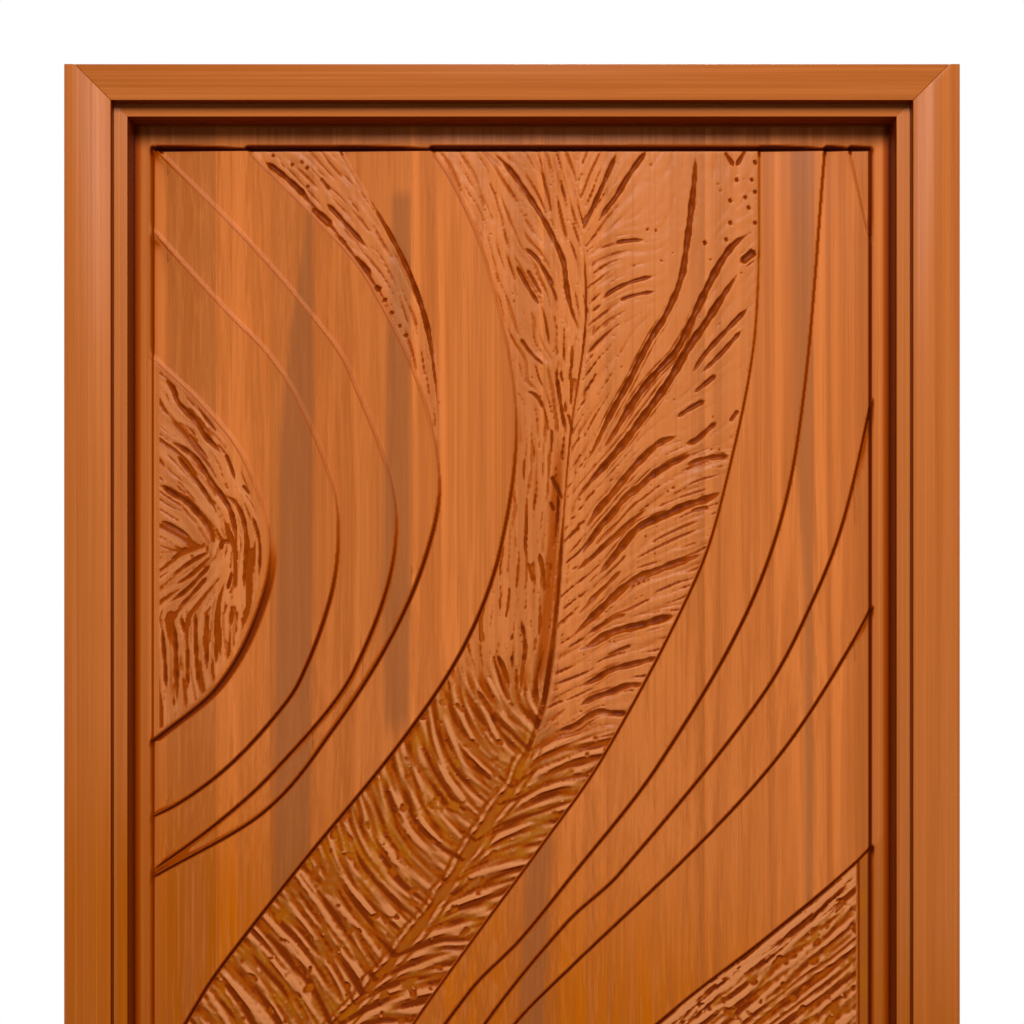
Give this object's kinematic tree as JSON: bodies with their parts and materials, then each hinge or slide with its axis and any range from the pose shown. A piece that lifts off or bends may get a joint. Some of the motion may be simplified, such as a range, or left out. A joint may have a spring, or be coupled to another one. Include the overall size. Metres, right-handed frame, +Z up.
{
  "type": "carved teak door in frame",
  "caption": "Solid teak door leaf carved with a sweeping feather and flowing bands, hung on butt hinges in a rebated teak frame with a flat mitred casing.",
  "frame": {"origin": "floor level under the middle of the whole door, halfway between its front and back", "axes": "+Z up the door, +X to the right seen from the carved side, +Y away from the carved side, the way the leaf opens"},
  "size_m": [1.09, 0.1344, 2.145],
  "materials": {
    "teak_leaf": "varnished satin",
    "teak_frame": "varnished satin",
    "teak_casing": "varnished satin",
    "dowel_wood": "plain",
    "hinge_brass": "satin"
  },
  "bodies": {
    "frame": {"jamb_left": "teak_frame", "jamb_right": "teak_frame", "frame_head": "teak_frame", "casing_left": "teak_casing", "casing_right": "teak_casing", "casing_head": "teak_casing", "corner_dowels": "dowel_wood", "hinge_frame_top": "hinge_brass", "hinge_frame_mid": "hinge_brass", "hinge_frame_low": "hinge_brass", "hinge_pin_top": "hinge_brass", "hinge_pin_mid": "hinge_brass", "hinge_pin_low": "hinge_brass", "frame_screws": "hinge_brass"},
    "leaf": {"leaf_slab": "teak_leaf", "hinge_leaf_top": "hinge_brass", "hinge_leaf_mid": "hinge_brass", "hinge_leaf_low": "hinge_brass", "leaf_screws": "hinge_brass"}
  },
  "joints": [
    {"name": "leaf_hinge", "type": "hinge", "parent": "frame", "child": "leaf", "pos_m": [-0.4835, 0.06125, 1.05], "axis": [0, 0, 1], "range_deg": [0, 110]}
  ]
}
